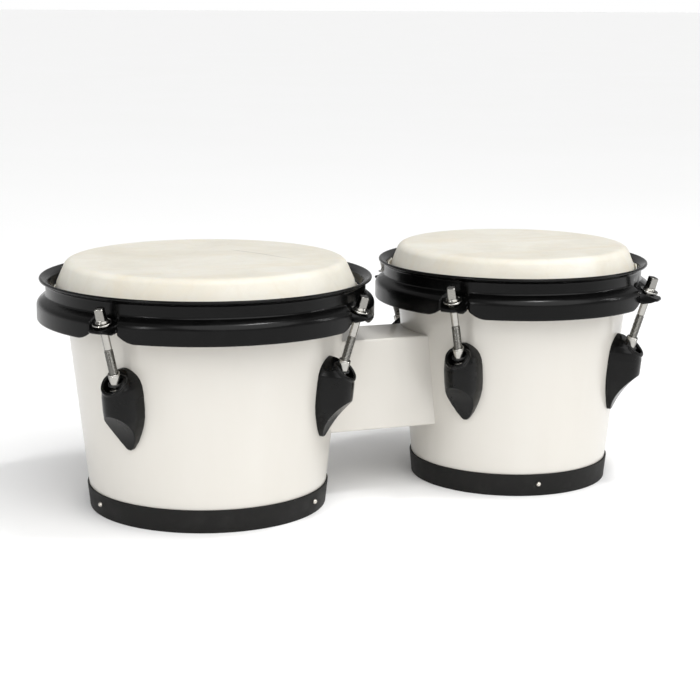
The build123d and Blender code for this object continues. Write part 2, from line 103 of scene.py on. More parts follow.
def resampled(line, count):
    """The polyline as count points, evenly spaced along it."""
    line = np.array([tuple(p) for p in line])
    along = np.concatenate([[0], np.cumsum(np.linalg.norm(np.diff(line, axis=0), axis=1))])
    places = np.linspace(0, along[-1], count)
    return np.stack([np.interp(places, along, line[:, k]) for k in (0, 1)], axis=1)


def side_normals(line):
    """Unit normals to the right of each point of a polyline, given as an array."""
    steps = np.gradient(line, axis=0)
    steps /= np.linalg.norm(steps, axis=1)[:, None] + 1e-12
    return np.stack([steps[:, 1], -steps[:, 0]], axis=1)


def mesh_object(name, verts, faces, materials, sharp=35, indices=None):
    """A smooth-shaded mesh object with creases where faces meet at more than sharp degrees."""
    mesh = bpy.data.meshes.new(name)
    mesh.from_pydata([tuple(v) for v in verts], [], [tuple(f) for f in faces])
    mesh.validate()
    obj = bpy.data.objects.new(name, mesh)
    bpy.context.scene.collection.objects.link(obj)
    for material in materials if isinstance(materials, (list, tuple)) else [materials]:
        mesh.materials.append(material)
    bm = bmesh.new()
    bm.from_mesh(mesh)
    bmesh.ops.recalc_face_normals(bm, faces=bm.faces)
    bm.to_mesh(mesh)
    bm.free()
    if indices is not None:
        mesh.polygons.foreach_set("material_index", indices)
    mesh.polygons.foreach_set("use_smooth", [True] * len(mesh.polygons))
    mesh.set_sharp_from_angle(angle=radians(sharp))
    return obj


def ring_grid(rings, close_rings):
    """Vertices and quads of rings of points, joined in turn; close_rings joins the last to the first."""
    rings = np.asarray(rings, dtype=float)
    count, size = rings.shape[:2]
    faces = []
    for i in range(count if close_rings else count - 1):
        j = (i + 1) % count
        for k in range(size):
            n = (k + 1) % size
            faces.append((i * size + k, i * size + n, j * size + n, j * size + k))
    return rings.reshape(-1, 3), faces


def prism(name, low, high):
    """A closed solid between two rings with the same number of points, in mm."""
    count = len(low)
    faces = [(k, (k + 1) % count, count + (k + 1) % count, count + k) for k in range(count)]
    faces += [tuple(range(count))[::-1], tuple(range(count, 2 * count))]
    return mesh_object(name, [tuple(p * MM) for p in list(low) + list(high)], faces, [])


def lathe(name, profile, materials, place=Matrix(), segments=96, sharp=35, index_of=None):
    """A closed profile of (radius, height) points turned about Z, then put in place."""
    angles = np.linspace(0, 2 * pi, segments, endpoint=False)
    rings = [
        np.stack([r * np.cos(angles), r * np.sin(angles), np.full(segments, z)], axis=1)
        for r, z in (tuple(p) for p in profile)
    ]
    verts, faces = ring_grid(rings, True)
    indices = None
    if index_of is not None:
        indices = [index_of(i // segments) for i in range(len(faces))]
    obj = mesh_object(name, verts, faces, materials, sharp, indices)
    weld(obj)
    obj.data.transform(place)
    return obj


def weld(obj):
    """Merges doubled vertices, such as those where a profile meets the axis."""
    bm = bmesh.new()
    bm.from_mesh(obj.data)
    bmesh.ops.remove_doubles(bm, verts=bm.verts, dist=1e-6)
    bm.to_mesh(obj.data)
    bm.free()


def joined(name, pieces):
    """Several mesh objects as one."""
    bpy.ops.object.select_all(action="DESELECT")
    for piece in pieces:
        piece.select_set(True)
    bpy.context.view_layer.objects.active = pieces[0]
    bpy.ops.object.join()
    pieces[0].name = name
    return pieces[0]


def cut(obj, cutter):
    """Takes cutter's shape out of obj and removes it."""
    tool = obj.modifiers.new("cut", "BOOLEAN")
    tool.operation = "DIFFERENCE"
    tool.solver = "EXACT"
    tool.object = cutter
    bpy.context.view_layer.objects.active = obj
    bpy.ops.object.modifier_apply(modifier=tool.name)
    bpy.data.objects.remove(cutter)


# ---- Materials -----------------------------------------------------------------------
class Look:
    """A Principled material with a few shorthand steps for its nodes."""

    def __init__(self, name, color, roughness, **values):
        self.material = bpy.data.materials.new(name)
        self.material.use_nodes = True
        self.nodes = self.material.node_tree.nodes
        self.links = self.material.node_tree.links
        self.shader = self.nodes["Principled BSDF"]
        self.shader.inputs["Base Color"].default_value = (*color, 1)
        self.shader.inputs["Roughness"].default_value = roughness
        for socket, value in values.items():
            self.shader.inputs[socket.replace("_", " ")].default_value = value
        self.place = self.nodes.new("ShaderNodeTexCoord").outputs["Object"]

    def add(self, kind, **settings):
        """A new node, with properties or input values set by name."""
        node = self.nodes.new(kind)
        for key, value in settings.items():
            if hasattr(node, key):
                setattr(node, key, value)
            else:
                node.inputs[key.replace("_", " ")].default_value = value
        return node

    def stretched(self, scale, rotation=(0, 0, 0)):
        """Object coordinates scaled, so that a pattern is drawn out one way."""
        mapping = self.add("ShaderNodeMapping")
        mapping.inputs["Scale"].default_value = scale
        mapping.inputs["Rotation"].default_value = rotation
        self.links.new(self.place, mapping.inputs["Vector"])
        return mapping.outputs["Vector"]

    def noise(self, scale, detail=4, roughness=0.55, vector=None, distortion=0.0):
        """Noise from 0 to 1 on the object's own coordinates, or on vector."""
        node = self.add("ShaderNodeTexNoise", Scale=scale, Detail=detail, Roughness=roughness)
        node.inputs["Distortion"].default_value = distortion
        self.links.new(vector or self.place, node.inputs["Vector"])
        return node.outputs["Fac"]

    def spread(self, value, low, high, to_low=0.0, to_high=1.0):
        """The value mapped from one range to another and kept within it."""
        node = self.add("ShaderNodeMapRange")
        for socket, number in zip(("From Min", "From Max", "To Min", "To Max"), (low, high, to_low, to_high)):
            node.inputs[socket].default_value = number
        self.links.new(value, node.inputs["Value"])
        return node.outputs["Result"]

    def maths(self, operation, a, b):
        """One sum on numbers or outputs."""
        node = self.add("ShaderNodeMath", operation=operation)
        for socket, value in zip(node.inputs, (a, b)):
            if isinstance(value, (int, float)):
                socket.default_value = value
            else:
                self.links.new(value, socket)
        return node.outputs[0]

    def scratch(self, start, end, bow, width):
        """1 on a thin bowed line between two points seen from above, fading to 0 beside it."""
        run = Vector(end) - Vector(start)
        along, across = run.normalized(), run.normalized().orthogonal()
        split = self.add("ShaderNodeSeparateXYZ")
        self.links.new(self.place, split.inputs[0])

        def measure(direction, origin):
            parts = [self.maths("MULTIPLY", split.outputs[k], direction[k]) for k in (0, 1)]
            return self.maths("ADD", self.maths("ADD", *parts), -direction.dot(Vector(origin)))

        share = self.maths("DIVIDE", measure(along, start), run.length)
        curve = self.maths("MULTIPLY", self.maths("MULTIPLY", share, self.maths("SUBTRACT", 1.0, share)), 4 * bow)
        waver = self.spread(self.noise(60, 3), 0, 1, -width, width)
        aside = self.maths("ADD", self.maths("SUBTRACT", measure(across, start), curve), waver)
        line = self.spread(self.maths("ABSOLUTE", aside, 0.0), 0.3 * width, width, 1.0, 0.0)
        ends = self.maths("MULTIPLY", self.spread(share, 0.0, 0.12), self.spread(share, 0.6, 1.0, 1.0, 0.0))
        return self.maths("MULTIPLY", line, ends)

    def ramp(self, value, stops):
        """A colour from the value, with stops given as (position, colour)."""
        node = self.add("ShaderNodeValToRGB")
        elements = node.color_ramp.elements
        while len(elements) < len(stops):
            elements.new(0.5)
        for element, (at, color) in zip(elements, stops):
            element.position = at
            element.color = (*color, 1)
        self.links.new(value, node.inputs["Fac"])
        return node.outputs["Color"]

    def mix(self, factor, a, b):
        """From colour a at factor 0 to colour b at factor 1."""
        node = self.add("ShaderNodeMix", data_type="RGBA")
        for socket, value in zip((node.inputs[0], node.inputs[6], node.inputs[7]), (factor, a, b)):
            if isinstance(value, (int, float)):
                socket.default_value = value
            elif isinstance(value, tuple):
                socket.default_value = (*value, 1)
            else:
                self.links.new(value, socket)
        return node.outputs[2]

    def color(self, output):
        self.links.new(output, self.shader.inputs["Base Color"])
        return self

    def rough(self, output):
        self.links.new(output, self.shader.inputs["Roughness"])
        return self

    def bump(self, *layers):
        """Stacked bumps, each (height output, depth in metres)."""
        normal = None
        for height, depth in layers:
            node = self.add("ShaderNodeBump", Strength=1.0, Distance=depth)
            self.links.new(height, node.inputs["Height"])
            if normal is not None:
                self.links.new(normal, node.inputs["Normal"])
            normal = node.outputs["Normal"]
        self.links.new(normal, self.shader.inputs["Normal"])
        return self


def lacquer():
    """Warm white gloss lacquer with faint orange peel and a faint upright figure from the wood."""
    look = Look("white_lacquer", (0.80, 0.775, 0.74), 0.3, Coat_Weight=0.3, Coat_Roughness=0.12)
    cloud = look.noise(14, 6, 0.6)
    upright = look.noise(26, 5, 0.6, look.stretched((1, 1, 0.05)))
    tone = look.maths("ADD", look.maths("MULTIPLY", cloud, 0.4), look.maths("MULTIPLY", upright, 0.6))
    look.color(look.ramp(tone, ((0.30, (0.622, 0.596, 0.545)), (0.70, (0.650, 0.628, 0.582)))))
    look.rough(look.spread(look.noise(60, 4), 0.3, 0.7, 0.29, 0.32))
    grain = look.noise(130, 4, 0.5, look.stretched((1, 1, 0.06)))
    return look.bump((look.noise(260, 2), 0.000008), (grain, 0.000010)).material


def bare_wood():
    """Sanded hardwood with long upright grain and darker pores."""
    look = Look("bare_wood", (0.50, 0.34, 0.20), 0.6)
    upright = look.stretched((1, 1, 0.07))
    grain = look.noise(160, 8, 0.62, upright, 0.6)
    wide = look.noise(26, 3, 0.5, upright, 1.2)
    pores = look.spread(look.noise(900, 2, 0.5, upright), 0.60, 0.72)
    tone = look.ramp(look.maths("ADD", look.maths("MULTIPLY", grain, 0.6), look.maths("MULTIPLY", wide, 0.4)),
                     ((0.30, (0.30, 0.175, 0.085)), (0.50, (0.47, 0.31, 0.17)), (0.70, (0.60, 0.43, 0.26))))
    look.color(look.mix(pores, tone, (0.20, 0.11, 0.05)))
    look.rough(look.spread(grain, 0.3, 0.7, 0.5, 0.75))
    return look.bump((grain, 0.0001), (pores, -0.00006)).material


def black_paint(name, tone, low, high, peel, specular):
    """Black paint: fine peel, faint dust and slightly worn gloss."""
    look = Look(name, tone, (low + high) / 2, Specular_IOR_Level=specular)
    dust = look.spread(look.noise(70, 8, 0.7), 0.50, 0.85)
    specks = look.spread(look.noise(1500, 1), 0.72, 0.80)
    lighter = tuple(min(1, 2.2 * c + 0.004) for c in tone)
    base = look.mix(look.maths("MULTIPLY", dust, 0.5), tone, lighter)
    look.color(look.mix(look.maths("MULTIPLY", specks, 0.35), base, (0.06, 0.058, 0.055)))
    look.rough(look.spread(look.noise(45, 5), 0.3, 0.7, low, high))
    return look.bump((look.noise(peel, 2), 0.00002), (look.noise(120, 3), 0.00003)).material


def plated(name, tone, roughness):
    """Plated metal with fine marks, cloudy gloss and small stains; its colour has painted shade, darker where the
    surface turns away from view.
    """
    look = Look(name, tone, roughness, Metallic=1.0)
    stain = look.spread(look.noise(700, 4, 0.6), 0.55, 0.75)
    stained = look.mix(look.maths("MULTIPLY", stain, 0.45), tone, tuple(0.72 * c for c in tone))
    # Painted shade: the colour darkens towards grazing view, standing in for the dark reflections at a plated part's
    # sides.
    turned = look.add("ShaderNodeLayerWeight", Blend=0.5).outputs["Facing"]
    look.color(look.mix(look.spread(turned, 0.30, 0.75), stained, tuple(0.16 * c for c in tone)))
    look.rough(look.spread(look.noise(350, 5), 0.3, 0.7, 0.7 * roughness, 1.7 * roughness))
    return look.bump((look.noise(2600, 3), 0.00001), (look.noise(300, 2), 0.00004)).material


def zinc():
    """Dull zinc plate with a soft crystalline mottle."""
    look = Look("zinc", (0.50, 0.51, 0.52), 0.38, Metallic=1.0)
    cells = look.add("ShaderNodeTexVoronoi", Scale=900.0)
    look.links.new(look.place, cells.inputs["Vector"])
    look.color(look.ramp(cells.outputs["Distance"], ((0.0, (0.56, 0.565, 0.57)), (0.6, (0.40, 0.405, 0.42)))))
    look.rough(look.spread(look.noise(500, 4), 0.3, 0.7, 0.28, 0.5))
    return look.bump((look.noise(1800, 3), 0.00001)).material


def steel_bar():
    """Plain drawn steel with light brown bloom."""
    look = Look("hoop_steel", (0.40, 0.39, 0.38), 0.42, Metallic=1.0)
    bloom = look.spread(look.noise(120, 6, 0.7), 0.52, 0.75)
    look.color(look.mix(bloom, (0.42, 0.41, 0.40), (0.27, 0.19, 0.13)))
    look.rough(look.spread(bloom, 0, 1, 0.35, 0.7))
    return look.bump((look.noise(900, 4), 0.00003)).material


def nylon():
    """Moulded black nylon."""
    look = Look("nylon", (0.02, 0.02, 0.02), 0.45)
    look.color(look.ramp(look.noise(200, 3), ((0.3, (0.015, 0.015, 0.016)), (0.7, (0.03, 0.03, 0.03)))))
    return look.bump((look.noise(1200, 2), 0.00001)).material


def rawhide():
    """Scraped rawhide: cream with cloudy mottles, faint veins, pores and one dark scratch."""
    look = Look("rawhide", (0.80, 0.755, 0.65), 0.5, Subsurface_Weight=0.12, Specular_IOR_Level=0.4)
    look.shader.inputs["Subsurface Radius"].default_value = (0.003, 0.002, 0.001)
    cloud = look.noise(16, 6, 0.6, distortion=0.6)
    base = look.ramp(cloud, ((0.28, (0.610, 0.580, 0.500)), (0.50, (0.668, 0.642, 0.566)),
                             (0.72, (0.715, 0.695, 0.628))))
    streak = look.noise(7, 5, 0.6, look.stretched((1.0, 6.0, 1.0), (0, 0, 0.5)), 1.0)
    warm = look.spread(streak, 0.50, 0.72)
    base = look.mix(look.maths("MULTIPLY", warm, 0.5), base, (0.650, 0.580, 0.450))
    veins = look.add("ShaderNodeTexVoronoi", feature="DISTANCE_TO_EDGE", Scale=26.0)
    bent = look.add("ShaderNodeVectorMath", operation="ADD")
    warp = look.add("ShaderNodeTexNoise", Scale=30.0, Detail=4.0)
    look.links.new(look.place, warp.inputs["Vector"])
    shift = look.add("ShaderNodeVectorMath", operation="SCALE", Scale=0.03)
    look.links.new(warp.outputs["Color"], shift.inputs[0])
    look.links.new(look.place, bent.inputs[0])
    look.links.new(shift.outputs[0], bent.inputs[1])
    look.links.new(bent.outputs[0], veins.inputs["Vector"])
    vein = look.spread(veins.outputs["Distance"], 0.0, 0.05, 1.0, 0.0)
    base = look.mix(look.maths("MULTIPLY", vein, 0.07), base, (0.50, 0.41, 0.30))
    scratch = look.scratch((-0.0862, 0.0321), (-0.0535, -0.0324), 0.0025, 0.00050)
    base = look.mix(look.maths("MULTIPLY", scratch, 0.85), base, (0.10, 0.08, 0.06))
    pores = look.spread(look.noise(1300, 2, 0.5), 0.62, 0.72)
    look.color(look.mix(look.maths("MULTIPLY", pores, 0.22), base, (0.55, 0.47, 0.36)))
    look.rough(look.spread(look.noise(90, 5), 0.3, 0.7, 0.42, 0.62))
    grain = look.noise(700, 5, 0.6)
    return look.bump((cloud, 0.0004), (grain, 0.00006), (pores, -0.00003)).material


LACQUER = lacquer()
WOOD = bare_wood()
ENAMEL = black_paint("black_enamel", (0.0016, 0.0016, 0.0016), 0.19, 0.28, 520, 0.17)
LUG_COAT = black_paint("black_lug", (0.0015, 0.0015, 0.0014), 0.20, 0.30, 900, 0.21)
BAND_COAT = black_paint("black_band", (0.0085, 0.0083, 0.0078), 0.50, 0.66, 1100, 0.18)
# Each plated material below carries painted shade that darkens its colour where the surface turns away from view.
CHROME = plated("chrome", (0.46, 0.448, 0.42), 0.15)
KEY_STEEL = plated("key_steel", (0.30, 0.292, 0.272), 0.19)
THREAD = plated("threaded_steel", (0.20, 0.195, 0.18), 0.24)
NICKEL = plated("nickel", (0.66, 0.63, 0.57), 0.24)
ZINC = zinc()
HOOP_STEEL = steel_bar()
NYLON = nylon()
HIDE = rawhide()


# ---- The drums -------------------------------------------------------------------------
class Drum:
    """One drum's sizes, given in mm and kept in metres, and its place in the frame."""

    def __init__(self, name, top, foot, collar, skirt, lug_angles, flap_bumps, seed):
        low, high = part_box(f"{name}_shell")
        self.name = name
        self.centre = Vector(((low[0] + high[0]) / 2, (low[1] + high[1]) / 2, 0))
        self.top = top * MM
        self.foot = foot * MM
        self.collar = self.top + collar * MM
        self.skirt = self.top + skirt * MM
        self.ear = self.top + NUT_REACH + (EAR_HEIGHT - NUT_HEIGHT) * tan(ROD_TILT)
        self.slope = (self.top - self.foot) / CONE_HEIGHT
        self.lug_angles = lug_angles
        self.flap_bumps = flap_bumps
        self.seed = seed

    def outside(self, z):
        """The shell's outer radius at a height."""
        return self.foot + (self.top - self.foot) * z / CONE_HEIGHT

    def place(self):
        return Matrix.Translation(self.centre)


# flap_bumps: (angle, width, height) where the skin's rough edge stands up inside the rim.
DRUMS = (
    Drum("hembra", 101.6, 82.8, 10.2, 16.5, (45, 129, 219, 315), ((10, 13, 6.5), (75, 20, 4), (250, 25, 2)), 11),
    Drum("macho", 88.9, 72.0, 6.9, 13.7, (45, 131, 221, 315),
         ((151, 12, 7), (341, 14, 6.5), (60, 30, 4), (95, 10, 5)), 47),
)


def quarter(centre, across, up):
    """A quarter of an ellipse in radius and height, from its top to its outermost point."""
    return [Vector((centre[0] + across * cos(t), centre[1] + up * sin(t))) for t in np.linspace(pi / 2, 0, 24)]


def shell(drum):
    """The shell: lacquered outside and over the foot's edge, bare wood on the bearing edge and inside."""
    edge_foot = BEARING_HEIGHT - 13 * MM
    bearing = quarter((drum.outside(edge_foot) - 7.8 * MM, edge_foot), 7.8 * MM, 12.6 * MM)
    corners = [(drum.outside(edge_foot), edge_foot), (drum.foot, 0), (drum.foot - SHELL_WALL, 0),
               (drum.top - SHELL_WALL, BEARING_HEIGHT - 1.2 * MM), bearing[0]]
    lower = rounded(corners, (0.6 * MM, 0.8 * MM, 0.6 * MM), 6)
    line = bearing + lower[1:-1]
    wood = [p.y > 164 * MM or p.x < drum.outside(p.y) - 2 * MM and p.y > 0.5 * MM for p in line]
    obj = lathe(f"{drum.name}_shell_body", line, [LACQUER, WOOD], drum.place(), 192,
                index_of=lambda ring: int(wood[ring]))
    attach(obj, "root")
    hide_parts(f"{drum.name}_shell")


def base_band(drum):
    """The steel band round the foot, with soft edges."""
    thick, high, gap = 1.3 * MM, 16.4 * MM, 0.06 * MM
    inner_low, inner_high = drum.foot + gap, drum.outside(high) + gap
    corners = [(inner_low, 0), (inner_low + thick, 0), (inner_high + thick, high), (inner_high, high)]
    line = rounded(corners, (0.1 * MM, 0.5 * MM, 0.55 * MM, 0.1 * MM), 4, closed=True)
    obj = lathe(f"{drum.name}_foot_band", line, BAND_COAT, drum.place(), 192, sharp=50)
    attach(obj, "root")
    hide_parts(f"{drum.name}_base_band")


def smooth_step(value, low, high):
    """0 below low, 1 above high, and a smooth rise between."""
    share = min(max((value - low) / (high - low), 0.0), 1.0)
    return share * share * (3 - 2 * share)


def rim_section(drum, aside):
    """The middle line of the rim's sheet, in mm, at a distance along the rim from an ear's middle.

    Far from an ear it is collar, shoulder and upright skirt. Nearer, the skirt's bulge fades out, its
    lower edge rises, and the sheet below the knee turns outwards until it is the ear.
    """
    aside = abs(aside)
    half = RIM_SHEET / 2 / MM
    collar, bulge = drum.collar / MM - half, (drum.skirt - drum.collar) / MM
    swell = smooth_step(aside, 6.8, 11.8)
    flat = 1 - smooth_step(aside, 5.5, 10)
    dent = 1 - smooth_step(aside, 4.5, 8)
    knee = (collar + bulge * swell - 2.0 * dent, 147.2 - 0.4 * swell)
    turn = ROD_TILT + (pi / 2 - ROD_TILT) * (1 - flat)
    reach, straight, corner = 7.6, 2.5, 6.5    # of the ear's edge: beyond the rod, before and at its corners
    if aside > straight:
        inset = min(aside - straight, corner - 0.05)
        reach += sqrt(corner**2 - inset**2) - corner
    ear_length = (drum.ear / MM + reach - knee[0]) / cos(ROD_TILT)
    share = min(max((aside - 7) / 17, 0), 1)
    skirt_length = knee[1] - SKIRT_FOOT - 8.6 * (1 - share) ** 2
    length = flat * ear_length + (1 - flat) * skirt_length
    end = (knee[0] + length * cos(turn), knee[1] - length * sin(turn))
    top = rounded([(collar + 4.4, 162.9), (collar, 160.6), (collar, 157.5)], (4.0,), 8)
    lower = rounded([(collar, 157.5), (collar - 0.7 * dent, 151.4 + 0.6 * dent), knee, end],
                    (0.3 + 2.6 * swell, 1.7 + 2.6 * swell), 8)
    return np.concatenate([resampled(top, 14), resampled(lower, 56)[1:]])


def rounded_sheet(line, half):
    """The closed outline of a sheet of even thickness along a line, with half-round edges."""
    out = side_normals(line) * half
    caps = []
    for tip, back, side in ((line[-1], line[-2], out[-1]), (line[0], line[1], -out[0])):
        ahead = (tip - back) / np.linalg.norm(tip - back) * half
        caps.append([tip + side * cos(a) + ahead * sin(a) for a in np.linspace(0, pi, 8)[1:-1]])
    return np.concatenate([line + out, caps[0], (line - out)[::-1], caps[1]])


def tension_rim(drum):
    """The pressed rim with its four slotted ears."""
    fine, coarse, reach = radians(0.5), radians(1.5), radians(14)
    angles = []
    lugs = sorted(drum.lug_angles)
    for lug, following in zip(lugs, lugs[1:] + [lugs[0] + 360]):
        start, stop = radians(lug), radians(following)
        angles.extend(np.arange(start - reach, start + reach - 1e-9, fine))
        gap = stop - start - 2 * reach
        count = ceil(gap / coarse)
        angles.extend(start + reach + gap * k / count for k in range(count))
    columns = []
    for angle in angles:
        off = min(abs((degrees(angle) - lug + 180) % 360 - 180) for lug in lugs)
        line = rim_section(drum, drum.ear / MM * radians(off))
        columns.append([(r * MM * cos(angle), r * MM * sin(angle), z * MM)
                        for r, z in rounded_sheet(line, RIM_SHEET / 2 / MM)])
    verts, faces = ring_grid(columns, True)
    obj = mesh_object(f"{drum.name}_pressed_rim", verts, faces, ENAMEL, 50)
    for lug in lugs:
        cut(obj, slot_cutter(drum, lug))
    finish_smooth(obj, 40)
    obj.data.transform(drum.place())
    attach(obj, f"{drum.name}_rim")
    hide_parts(f"{drum.name}_tension_rim")


def finish_smooth(obj, sharp):
    """Smooth shading with creases, after a cut."""
    obj.data.polygons.foreach_set("use_smooth", [True] * len(obj.data.polygons))
    obj.data.set_sharp_from_angle(angle=radians(sharp))


def slot_cutter(drum, lug):
    """A bar with round ends that cuts the rod's slot in an ear of a drum standing at the origin."""
    half_width, half_run, count = 3.4, 1.4, 24
    ring = []
    for k in range(count):
        angle = 2 * pi * (k + 0.5) / count
        along = half_width * cos(angle) + (half_run if cos(angle) > 0 else -half_run)
        ring.append(Vector((along, half_width * sin(angle), 0)))
    up = Vector((0, 0, 5))
    obj = prism("cutter", [p - up for p in ring], [p + up for p in ring])
    turn = Matrix.Rotation(radians(lug), 4, "Z")
    lean = Matrix.Translation((drum.ear, 0, EAR_HEIGHT)) @ Matrix.Rotation(ROD_TILT, 4, "Y")
    obj.data.transform(turn @ lean)
    return obj


def skin_line(drum, flap_top):
    """One face of the skin: the upper one on crown and slope, then the one that lies on the hoop.

    It ends inside the collar. The sheet's thickness lies below it on the head and outside it on the lap.
    """
    hoop_out = drum.collar - RIM_SHEET + 2.4 * MM
    hoop_in = hoop_out - HOOP_WIDTH
    flap = drum.collar - RIM_SHEET - 1.4 * MM
    crown = BEARING_HEIGHT + 1.1 * MM
    knee = drum.top + min(2.6 * MM, hoop_in - drum.top - 0.2 * MM)
    return [Vector((0.0004, crown))] + rounded(
        [(drum.top - 16 * MM, crown), (drum.top - 4.3 * MM, crown), (knee, 160 * MM), (hoop_in - 0.1 * MM, 145 * MM),
         (hoop_in - 0.1 * MM, HOOP_FOOT - 0.1 * MM), (hoop_out - 0.15 * MM, HOOP_FOOT - 0.1 * MM),
         (hoop_out - 0.15 * MM, HOOP_TOP + 0.4 * MM), (flap + 0.4 * MM, HOOP_TOP + 2.4 * MM), (flap, flap_top)],
        (7 * MM, 9 * MM, 2.3 * MM, 2.5 * MM, 2.3 * MM, 1.6 * MM, 1.2 * MM), 8)


def flap_height(drum, angle, where):
    """Height of the skin's rough edge at an angle, in metres."""
    height, e = 152.5, 2.718
    for middle, width, rise in drum.flap_bumps:
        off = (degrees(angle) - middle + 180) % 360 - 180
        height += rise * e ** (-((off / width) ** 2))
    height += 1.6 * noise.noise(where * 9 + Vector((drum.seed, 0, 0)))
    height += 1.8 * noise.noise(where * 45 + Vector((0, drum.seed, 0)))
    torn = noise.noise(where * 130 + Vector((0, 0, drum.seed)))
    return (height + 1.7 * torn) * MM


def skin_head(drum):
    """The skin in one piece, lapped round the hoop, with its rough-cut edge inside the rim."""
    segments, body_count = 360, 170
    columns = []
    for k in range(segments):
        angle = 2 * pi * k / segments
        where = Vector((cos(angle), sin(angle), 0))
        line = skin_line(drum, flap_height(drum, angle, where))
        head, tail = np.array(line[0]), line[1:]
        crown = [head + (np.array(tail[0]) - head) * s for s in np.linspace(0, 1, 20, endpoint=False)]
        line = np.concatenate([crown, resampled(tail, body_count)])
        lowest = np.argmin(line[:, 1])
        lap = LAP_THICK + (SKIN_THICK - LAP_THICK) * np.clip((line[:, 1] - 147 * MM) / (4 * MM), 0, 1)
        depth = np.where(np.arange(len(line)) < lowest - 8, SKIN_THICK, lap)
        other = line + side_normals(line) * depth[:, None]
        lean = 0.9 * noise.noise(where * 3.5 + Vector((7, drum.seed, 0)))
        lean += 1.1 * noise.noise(where * 38 + Vector((drum.seed, 7, 0)))
        above = np.clip((line[:, 1] - 147 * MM) / (12 * MM), 0, 1)
        above[: len(line) - 42] = 0
        sway = above * (0.4 - abs(lean)) * 1.2 * MM
        column = [(max(r, 0.0004) + s, z) for (r, z), s in zip(line, sway)]
        column += [(max(r, 0.0004) + s, z) for (r, z), s in zip(other[::-1], sway[::-1])]
        columns.append([(r * cos(angle), r * sin(angle), z) for r, z in column])
    rings = np.array(columns)
    size = rings.shape[1]
    for column in rings:
        for i in range(size):
            x, y, z = column[i]
            fade = 1 - smooth_step(hypot(x, y), drum.top - 16 * MM, drum.top - 5 * MM)
            if fade > 0:
                wave = noise.noise(Vector((x * 12, y * 12, drum.seed))) * 0.30
                wave += noise.noise(Vector((x * 40, y * 40, drum.seed))) * 0.08
                column[i, 2] += fade * wave * MM
    verts, faces = ring_grid(rings, True)
    hole = [k * size for k in range(segments)]
    last = [k * size + size - 1 for k in range(segments)]
    faces = [f for f in faces if f[0] % size != size - 1]
    faces += [tuple(hole), tuple(reversed(last))]
    obj = mesh_object(f"{drum.name}_head", verts, faces, HIDE, 60)
    obj.data.transform(drum.place())
    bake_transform(obj)
    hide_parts(f"{drum.name}_skin_head")


# ---- Lug casings ---------------------------------------------------------------------------
LUG_FOOT = 56.5 * MM
LUG_WIDTHS = ((0, 1.7), (1.5, 3.2), (6, 6.3), (12, 9.2), (18, 11.4), (24, 12.8), (31, 13.2), (40, 13.2),
              (46, 12.7), (50, 11.4), (53, 9.4), (55.3, 6.6), (56.8, 3.6), (57.5, 1.2))
LUG_LENGTH, LUG_WIDEST, LUG_DEPTH = 57.5, 13.2, 20.2   # in mm, as LUG_WIDTHS is: (height, half width)


def lug_matrix(drum, lug):
    """Frame of a lug casing: origin on the shell at the casing's foot, +X outwards, +Z up the shell."""
    lean = Matrix.Rotation(atan2(drum.slope, 1), 4, "Y")
    reach = Matrix.Translation((drum.outside(LUG_FOOT), 0, LUG_FOOT))
    return drum.place() @ Matrix.Rotation(radians(lug), 4, "Z") @ reach @ lean


def lug_point(drum, z, turn):
    """A point of the casing's uncut surface in mm: z up the casing, turn from -90 to 90 degrees."""
    heights, widths = zip(*LUG_WIDTHS)
    width = float(np.interp(z, heights, widths))
    depth = LUG_DEPTH * (width / LUG_WIDEST) ** 0.9
    y = width * sin(turn)
    around = drum.outside(LUG_FOOT + z * MM) / MM
    foot = sqrt(around**2 - y**2) - around - 0.25
    return Vector((foot + (depth - foot) * abs(cos(turn)) ** 0.72, y, z))


def lug_blank(drum):
    """The casing's closed outer form before it is cut."""
    count, levels = 56, 90
    heights = [LUG_LENGTH * (0.5 - 0.5 * cos(pi * k / (levels - 1))) for k in range(levels)]
    rings = []
    for z in heights:
        front = [lug_point(drum, z, -pi / 2 + pi * k / count) for k in range(count + 1)]
        back = [front[-1].lerp(front[0], (k + 1) / 13) - Vector((0.8, 0, 0)) for k in range(12)]
        rings.append([tuple(p * MM) for p in front + back])
    verts, faces = ring_grid(rings, False)
    size = len(rings[0])
    faces += [tuple(range(size))[::-1], tuple(range(len(verts) - size, len(verts)))]
    return mesh_object("lug", verts, faces, [LUG_COAT])


MOUTH_BACK, MOUTH_FRONT = Vector((3.0, 0, LUG_LENGTH)), Vector((LUG_DEPTH, 0, 42.8))
MOUTH_UP = Vector((MOUTH_BACK.z - MOUTH_FRONT.z, 0, MOUTH_FRONT.x - MOUTH_BACK.x)).normalized()


def mouth_ring(drum, inset):
    """The mouth's outline on its sloping plane, in mm, drawn in from the casing's outer form."""
    count = 72
    ring = []
    for k in range(count):
        turn = -pi / 2 + pi * (k + 0.5) / count
        low, high = 20.0, LUG_LENGTH - 0.1
        for _ in range(30):
            middle = (low + high) / 2
            above = (lug_point(drum, middle, turn) - MOUTH_BACK).dot(MOUTH_UP) > 0
            low, high = (low, middle) if above else (middle, high)
        ring.append(lug_point(drum, low, turn))
    ring = [p for p in ring if p.x > MOUTH_BACK.x - 0.2]
    middle = sum(ring, Vector()) / len(ring)
    ring = [p + (middle - p).normalized() * inset for p in ring]
    closed = [Vector(p) for p in ring]
    steps = int((ring[0] - ring[-1]).length / 1.2)
    for k in range(1, steps):
        closed.append(ring[-1].lerp(ring[0], k / steps))
    for _ in range(4):
        closed = [(closed[i - 1] + 2 * closed[i] + closed[(i + 1) % len(closed)]) / 4 for i in range(len(closed))]
    return closed


